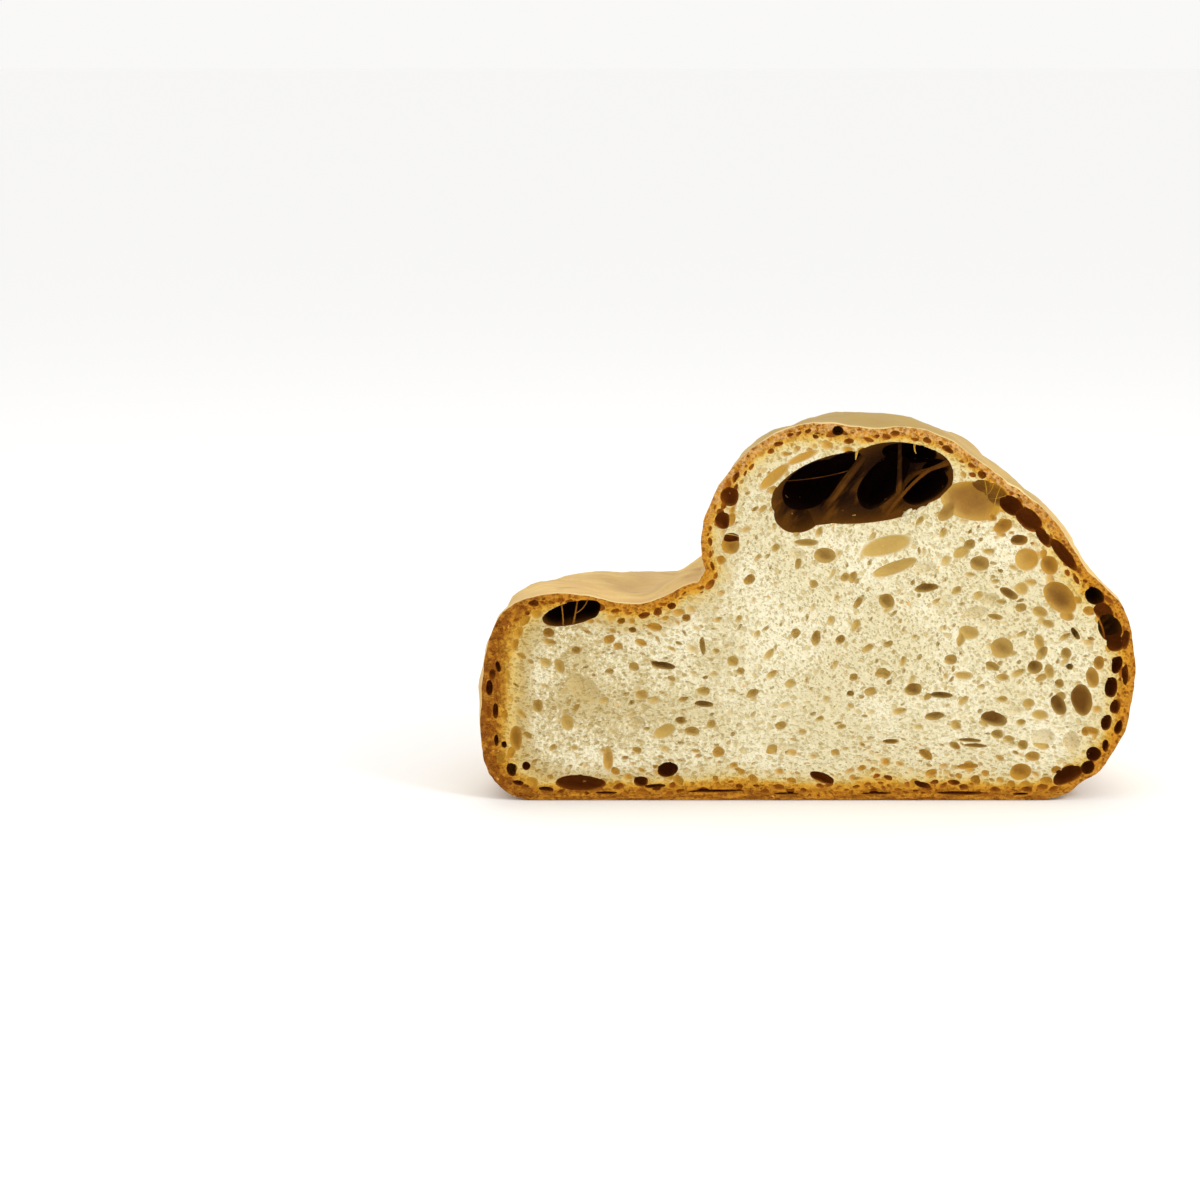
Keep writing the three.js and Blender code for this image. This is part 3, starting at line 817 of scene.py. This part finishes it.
crumbLook = {
    "bright": (0.86, 0.80, 0.58, 1),  # the driest, whitest crumb
    "left": (0.77, 0.69, 0.53, 1),  # painted shade, partly a yellower tone: what the left end's crumb is taken down by
    "shade": (0.70, 0.57, 0.27, 1),  # painted shade in the fine cells, with some tan of their own: what they take the wall's colour down by
    "cell": (0.58, 0.39, 0.10, 1),  # inside a hole: the crumb's own tan, darkened in part as painted shade
    "cellGold": (0.60, 0.31, 0.022, 1),
    # painted shade, deeper inside a hole
    "cellDeepShade": (0.29, 0.125, 0.008, 1),
    "pocket": (0.44, 0.15, 0.012, 1),  # inside a hole in the crust
    # painted shade, deeper inside a hole in the crust
    "pocketDeepShade": (0.17, 0.042, 0.003, 1),
    "cave": (0.155, 0.055, 0.005, 1),  # inside the crown hollow: a dark brown that is mostly painted shade
    # painted shade, nearly black, deep in the crown hollow and the dens
    "caveDeepShade": (0.013, 0.003, 0.0006, 1),
    "band": [  # mm below the crust, and the colour there
        (0.0, (0.50, 0.23, 0.03, 1)), (1.0, (0.56, 0.235, 0.018, 1)), (2.8, (0.60, 0.27, 0.02, 1)),
        (4.2, (0.67, 0.37, 0.045, 1)), (5.6, (0.72, 0.54, 0.19, 1)), (8.0, (0.74, 0.62, 0.33, 1)),
        (13.0, (0.75, 0.665, 0.42, 1)),
    ],
    "bandBrown": (0.22, 0.062, 0.004, 1),
    "bandPeach": (0.74, 0.47, 0.20, 1),
    "cellSize": 1.05,  # mm, the fine cells that are too small to model
    "fineCells": [  # share of cellSize, degrees of turn, stretch, smallest and largest
        (1.0, 0, 2.0, 0.1, 0.55), (0.95, -48, 1.6, 0.1, 0.55), (0.5, -20, 1.4, 0.1, 0.55),
        (2.2, -35, 1.4, -0.3, 0.5),
    ],
    "fleck": (0.78, 0.38, 0.08, 1),
    "bump": (0.9, 0.5),  # strength, and mm
    "specular": 0.08,
    "subsurface": (0.15, (1.0, 0.7, 0.35), 2.0),  # weight, reach in red, green and blue, and mm
}
crustLook = {
    "sandy": (0.66, 0.42, 0.13, 1),
    "flour": (0.80, 0.60, 0.25, 1),
    "tan": (0.45, 0.235, 0.05, 1),
    # painted shade on the upward-facing top of the crown
    "oliveTopShade": (0.38, 0.255, 0.062, 1),
    "crack": (0.16, 0.048, 0.008, 1),
    "under": (0.27, 0.12, 0.024, 1),
    "streak": (1.3, 0.6, 1.3),  # how far marks are drawn out along X, Y and Z: they run beside the cut
    "crackSpread": (9, 170, 9),  # cracks per metre along X, Y and Z
    "bump": (0.6, 0.8),
    "specular": 0.2,
}


def finish(name):
    material = bpy.data.materials.new(name)
    material.use_nodes = True
    return material, material.node_tree, material.node_tree.nodes["Principled BSDF"]


def roughen(tree, shader, height, roughness, look):
    # fine relief by shading, and how dull the surface is
    strength, depth = look["bump"]
    bump = put(tree, "ShaderNodeBump", {"Height": height, "Strength": strength, "Distance": depth * mm})
    feed(tree, shader.inputs["Normal"], bump.outputs[0])
    feed(tree, shader.inputs["Roughness"], roughness)
    shader.inputs["Specular IOR Level"].default_value = look["specular"]


def mix(tree, factor, first, second, blend="MIX"):
    node = put(tree, "ShaderNodeMix", {0: factor, 6: first, 7: second}, data_type="RGBA", blend_type=blend)
    return node.outputs[2]


def stops(tree, value, rows):
    # a colour ramp whose stops are given in the value's own unit
    reach = rows[-1][0]
    node = put(tree, "ShaderNodeValToRGB", {"Fac": calc(tree, "DIVIDE", value, reach)})
    band = node.color_ramp.elements
    while len(band) < len(rows):
        band.new(0.5)
    for stop, (at, colour) in zip(band, rows):
        stop.position = at / reach
        stop.color = colour
    return node.outputs["Color"]


def noise(tree, place, size, detail=2.0, stretch=(1, 1, 1), rough=0.5):
    # size is in mm, and stretch makes it longer along an axis
    scaled = vec(tree, "DIVIDE", place, tuple(size * mm * share for share in stretch))
    return texture(tree, scaled, detail, rough=rough)[0]


def attribute(tree, name):
    return put(tree, "ShaderNodeAttribute", attribute_name=name).outputs["Fac"]


def mottleGroup():
    # broad and fine noise, and the two mixed, all about 0.5
    tree, given, out = newTree("mottle", "ShaderNodeTree", {
        "Place": (0, 0, 0), "Broad": 30.0, "Fine": 1.0,
        "Fine share": 0.4,
    }, {"Broad": 0.0, "Mixed": 0.0})
    broad, fine = [texture(tree, given["Place"], 2.0, calc(tree, "DIVIDE", 1000.0, given[size]), rough)[0]
                   for size, rough in (("Broad", 0.5), ("Fine", 0.65))]
    mixed = plus(tree, times(tree, broad, minus(tree, 1.0, given["Fine share"])),
                 times(tree, fine, given["Fine share"]))
    feed(tree, out.inputs[0], broad)
    feed(tree, out.inputs[1], mixed)
    return tree


def cellsGroup():
    # fine crumb cells drawn out along one direction; Pit is 1 in the middle of a cell and 0 on its wall
    tree, given, out = newTree("crumbCells", "ShaderNodeTree", {
        "Place": (0, 0, 0), "Cell size": 1.1, "Turn": 0.0,
        "Stretch": 1.7, "Smallest": 0.16, "Largest": 0.5,
    }, {"Pit": 0.0})
    bend = texture(tree, given["Place"], 1.0, 260.0)["Color"]
    bent = vec(tree, "ADD", given["Place"], vec(tree, "SCALE", bend, None, None, 1.1 * mm))
    turned = put(tree, "ShaderNodeVectorRotate", {"Vector": bent, "Angle": given["Turn"]},
                 rotation_type="Y_AXIS").outputs[0]
    drawn = vec(tree, "DIVIDE", turned, join(tree, given["Stretch"], 1.0, 1.0))
    scaled = vec(tree, "SCALE", drawn, None, None, calc(tree, "DIVIDE", 1000.0, given["Cell size"]))
    cells = put(tree, "ShaderNodeTexVoronoi", {"Vector": scaled, "Scale": 1.0, "Smoothness": 0.35},
                feature="SMOOTH_F1")
    size = put(tree, "ShaderNodeSeparateColor", {0: put(tree, "ShaderNodeTexVoronoi", {
        "Vector": scaled, "Scale": 1.0}).outputs["Color"]}).outputs[0]
    span = minus(tree, given["Largest"], given["Smallest"])
    edge = calc(tree, "MAXIMUM", 0.001, plus(tree, given["Smallest"], times(tree, size, span)))
    pit = ramp(tree, cells.outputs["Distance"], times(tree, edge, 0.55), edge, 1.0, 0.0)
    feed(tree, out.inputs[0], pit)
    return tree


def makeCrumbFinish(mottle, cells):
    material, tree, shader = finish("crumb_cut")
    look = crumbLook
    place = put(tree, "ShaderNodeTexCoord").outputs["Object"]
    apart = split(tree, place)
    depth = times(tree, attribute(tree, "crustDepth"), 1000.0)  # mm below the crust
    hollow = attribute(tree, "hollow")
    sunk = times(tree, minus(tree, apart["Y"], cutPlane), 1000.0)  # mm behind the cut
    inHole = ramp(tree, hollow, 0.05, 0.2)
    mottled = put(tree, "ShaderNodeGroup", {"Place": place, "Broad": 26.0, "Fine": 1.3, "Fine share": 0.45},
                  node_tree=mottle).outputs

    # the crust band: its depth is pushed about, thicker at the ends than on top or below
    wide = times(tree, minus(tree, mottled["Broad"], 0.5), 5.0)
    frayed = times(tree, minus(tree, noise(tree, place, 2.6, 3.0, rough=0.6), 0.5), 4.5)
    thick = calc(tree, "MAXIMUM", ramp(tree, apart["X"], -84 * mm, -108 * mm, 0.0, 0.62),
                 ramp(tree, apart["X"], 84 * mm, 104 * mm, 0.0, 0.30))
    thick = calc(tree, "MAXIMUM", thick, ramp(tree, apart["Z"], 11 * mm, 5 * mm, 0.0, 0.42))
    pushed = plus(tree, depth, times(tree, plus(tree, wide, frayed), ramp(
        tree, depth, 0.0, 3.0, 0.25, 1.0)))
    pushed = times(tree, pushed, minus(tree, 1.12, thick))
    band = stops(tree, pushed, look["band"])
    inBand = ramp(tree, pushed, 5.5, 2.2)
    low = ramp(tree, apart["Z"], 7 * mm, 1 * mm)
    streaks = noise(tree, place, 1.4, 3.0, (8, 1, 1), 0.6)
    brownAt = times(tree, inBand, ramp(tree, noise(tree, place, 1.6, 3.0, rough=0.6), 0.50, 0.66))
    brownLow = times(tree, low, ramp(tree, streaks, 0.40, 0.62))
    band = mix(tree, times(tree, calc(tree, "MAXIMUM", brownAt, brownLow), 0.85), band, look["bandBrown"])
    leftEnd = times(tree, ramp(tree, apart["X"], -88 * mm, -112 * mm), inBand)
    blotches = noise(tree, place, 3.2, 3.0, rough=0.65)
    leftEnd = times(tree, leftEnd, ramp(tree, blotches, 0.36, 0.58, 0.25, 0.9))
    band = mix(tree, leftEnd, band, look["bandBrown"])
    peachAt = times(tree, ramp(tree, apart["Z"], 85 * mm, 120 * mm), ramp(
        tree, noise(tree, place, 1.9, 3.0, rough=0.6), 0.58, 0.44))
    peachAt = times(tree, peachAt, ramp(tree, pushed, 4.6, 1.6))
    band = mix(tree, times(tree, peachAt, 0.6), band, look["bandPeach"])
    # painted shade, partly a yellower tone: away from the crust band the crumb grows darker towards the left
    # end
    leftShadeAt = times(tree, ramp(tree, apart["X"], 0 * mm, -100 * mm), ramp(tree, pushed, 4.5, 8.0))
    band = mix(tree, leftShadeAt, band, mix(tree, 1.0, band, look["left"], "MULTIPLY"))

    # the fine cells: level over the base, climbing to the right in the middle, and fewer wide shallow ones
    climb = times(tree, ramp(tree, apart["Z"], 18 * mm, 46 * mm), ramp(tree, apart["X"], -55 * mm, -10 * mm))
    pits = []
    for share, turn, stretch, smallest, largest in look["fineCells"]:
        pits.append(put(tree, "ShaderNodeGroup", {
            "Place": place, "Cell size": look["cellSize"] * share, "Turn": math.radians(turn),
            "Stretch": stretch, "Smallest": smallest, "Largest": largest}, node_tree=cells).outputs[0])
    pit = plus(tree, times(tree, pits[0], minus(tree, 1.0, climb)), times(tree, pits[1], climb))
    pit = calc(tree, "MAXIMUM", calc(tree, "MAXIMUM", pit, times(tree, pits[2], 0.6)), pits[3])
    opened = times(tree, pit, minus(tree, 1.0, times(tree, inHole, 0.8)))
    dry = times(tree, ramp(tree, mottled["Mixed"], 0.56, 0.40), ramp(tree, pushed, 7.0, 15.0))
    wall = mix(tree, dry, band, look["bright"])
    # painted shade: the middles of the fine cells are taken darker, for the shade inside pits too small to
    # model
    pitShaded = mix(tree, times(tree, opened, 0.72), wall, mix(tree, 1.0, wall, look["shade"], "MULTIPLY"))

    # inside the holes: tan and then brown with depth, golden near the crust, redder in it, and nearly black
    # in the crown hollow, with lighter brown ribs; the darkening with depth and the near black are painted
    # shade
    patchy = noise(tree, place, 5.0, 3.0, rough=0.6)
    golden = times(tree, ramp(tree, depth, 22.0, 8.0), 0.9)
    cell = mix(tree, golden, look["cell"], look["cellGold"])
    cell = mix(tree, ramp(tree, plus(tree, sunk, times(tree, patchy, 3.0)), 3.2, 8.0), cell, look["cellDeepShade"])
    inCell = ramp(tree, sunk, 0.1, 1.7)
    inner = mix(tree, times(tree, inCell, ramp(tree, hollow, 0.05, 0.2, 0.1, 0.95)), pitShaded, cell)
    # painted shade: the crust holes' redder brown darkens with depth
    pocket = mix(tree, ramp(tree, plus(tree, sunk, times(tree, patchy, 6.0)), 3.2, 7.0),
                 look["pocket"], look["pocketDeepShade"])
    inPocket = times(tree, ramp(tree, sunk, 0.0, 1.0), ramp(tree, hollow, 0.48, 0.66))
    inner = mix(tree, inPocket, inner, pocket)
    leant = put(tree, "ShaderNodeVectorRotate", {"Vector": place, "Angle": climbAngle},
                rotation_type="Y_AXIS").outputs[0]
    # painted shade deepening behind the cut in the crown hollow and the dens, with lighter ribs painted
    # across it
    litRibs = ramp(tree, noise(tree, leant, 5.5, 3.0, (3.2, 3.2, 1), 0.55), 0.50, 0.66, 0.0, 6.0)
    cave = mix(tree, ramp(tree, minus(tree, sunk, litRibs), 2.0, 15.0), look["cave"], look["caveDeepShade"])
    inCave = times(tree, ramp(tree, sunk, 0.2, 3.5), ramp(tree, hollow, 0.9, 0.97))
    inner = mix(tree, inCave, inner, cave)
    fleckAt = ramp(tree, noise(tree, place, 2.4, 1.0), 0.755, 0.785)
    inner = mix(tree, times(tree, fleckAt, 0.7), inner, look["fleck"])
    feed(tree, shader.inputs["Base Color"], inner)

    grain = noise(tree, place, 0.55, 3.0, rough=0.7)
    height = minus(tree, times(tree, grain, 0.6), opened)
    roughen(tree, shader, height, ramp(tree, grain, 0.3, 0.7, 0.62, 0.9), look)
    weight, reach, scale = look["subsurface"]
    shader.inputs["Subsurface Weight"].default_value = weight
    shader.inputs["Subsurface Radius"].default_value = reach
    shader.inputs["Subsurface Scale"].default_value = scale * mm
    return material


def makeCrustFinish(mottle):
    material, tree, shader = finish("baked_crust")
    look = crustLook
    place = put(tree, "ShaderNodeTexCoord").outputs["Object"]
    apart = split(tree, place)
    facing = split(tree, put(tree, "ShaderNodeNewGeometry").outputs["Normal"])["Z"]
    mottled = put(tree, "ShaderNodeGroup", {"Place": place, "Broad": 42.0, "Fine": 2.2, "Fine share": 0.25},
                  node_tree=mottle).outputs
    speckle = noise(tree, place, 0.7, 3.0, rough=0.7)
    streaky = noise(tree, place, 3.4, 4.0, look["streak"], 0.65)
    darker = plus(tree, times(tree, mottled["Broad"], 0.85), times(tree, streaky, 0.15))
    colour = mix(tree, ramp(tree, darker, 0.38, 0.70, 0.0, 0.7), look["sandy"], look["tan"])
    flourAt = times(tree, ramp(tree, noise(tree, place, 12, 4.0, look["streak"], 0.5), 0.36, 0.70),
                   ramp(tree, speckle, 0.35, 0.6, 0.5, 1.0))
    colour = mix(tree, times(tree, flourAt, 0.75), colour, look["flour"])
    # paler towards the cut edge, in the flour colour
    rim = times(tree, ramp(tree, apart["Y"], cutPlane + 5 * mm, cutPlane + 0.8 * mm),
               ramp(tree, mottled["Mixed"], 0.40, 0.56, 0.2, 0.95))
    # painted shade: the upward-facing top of the crown is taken toward olive
    top = times(tree, ramp(tree, facing, 0.25, 0.9), ramp(tree, apart["Z"], 75 * mm, 120 * mm))
    topShadeAt = times(tree, top, ramp(tree, mottled["Broad"], 0.3, 0.6, 0.4, 0.8))
    colour = mix(tree, topShadeAt, colour, look["oliveTopShade"])
    colour = mix(tree, rim, colour, look["flour"])
    under = times(tree, ramp(tree, facing, -0.2, -0.85), ramp(tree, speckle, 0.3, 0.6, 0.6, 1.0))
    colour = mix(tree, times(tree, under, 0.85), colour, look["under"])
    waves = texture(tree, vec(tree, "MULTIPLY", place, look["crackSpread"]), 1.0)[0]
    line = ramp(tree, calc(tree, "ABSOLUTE", minus(tree, waves, 0.5)), 0.014, 0.003)
    crack = times(tree, line, ramp(tree, noise(tree, place, 12, 2.0), 0.54, 0.68))
    colour = mix(tree, times(tree, crack, 0.6), colour, look["crack"])
    feed(tree, shader.inputs["Base Color"], colour)

    folds = noise(tree, place, 5.0, 3.0, (1.3, 0.7, 1.3), 0.6)
    height = plus(tree, folds, times(tree, speckle, 0.4))
    height = plus(tree, height, times(tree, streaky, 0.35))
    height = minus(tree, height, times(tree, crack, 0.9))
    roughen(tree, shader, height, ramp(tree, flourAt, 0.0, 1.0, 0.52, 0.85), look)
    return material


mottle = mottleGroup()
crustFinish = makeCrustFinish(mottle)
crumbFinish = makeCrumbFinish(mottle, cellsGroup())
print("finishes made")


# ---- the half loaf

def makeLoaf():
    points = addObject("holePoints", holePoints())
    strandObject = addObject("strands", strandMesh())
    cut = skin.modifiers.new("cut", "NODES")
    cut.node_group = loafTree(crustFinish, crumbFinish)
    knife = [side * mm for side in cutting["knife"]]
    setInputs(cut, {
        "Sheet": sheet, "Points": points, "Strands": strandObject, "Knife size": knife,
        "Knife middle": (0.0, cutPlane - knife[1] / 2, cutting["knifeMiddle"] * mm),
        "Knife step": cutting["knifeStep"] * mm, "Knife pull": cutting["knifePull"] * mm,
        "Pull size": cutting["pullSize"] * mm, "Seed": cutting["seed"],
    })
    loaf = bake(skin)
    for helper in (points, strandObject, sheet):
        bpy.data.objects.remove(helper)
    loaf.data.shade_smooth()
    loaf.data.set_sharp_from_angle(angle=math.radians(cutting["sharpAngle"]))
    return loaf


loaf = makeLoaf()
triangles = sum(len(face.vertices) - 2 for face in loaf.data.polygons)
print("half loaf", triangles, "triangles")

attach(loaf, "root")
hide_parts("half_loaf")
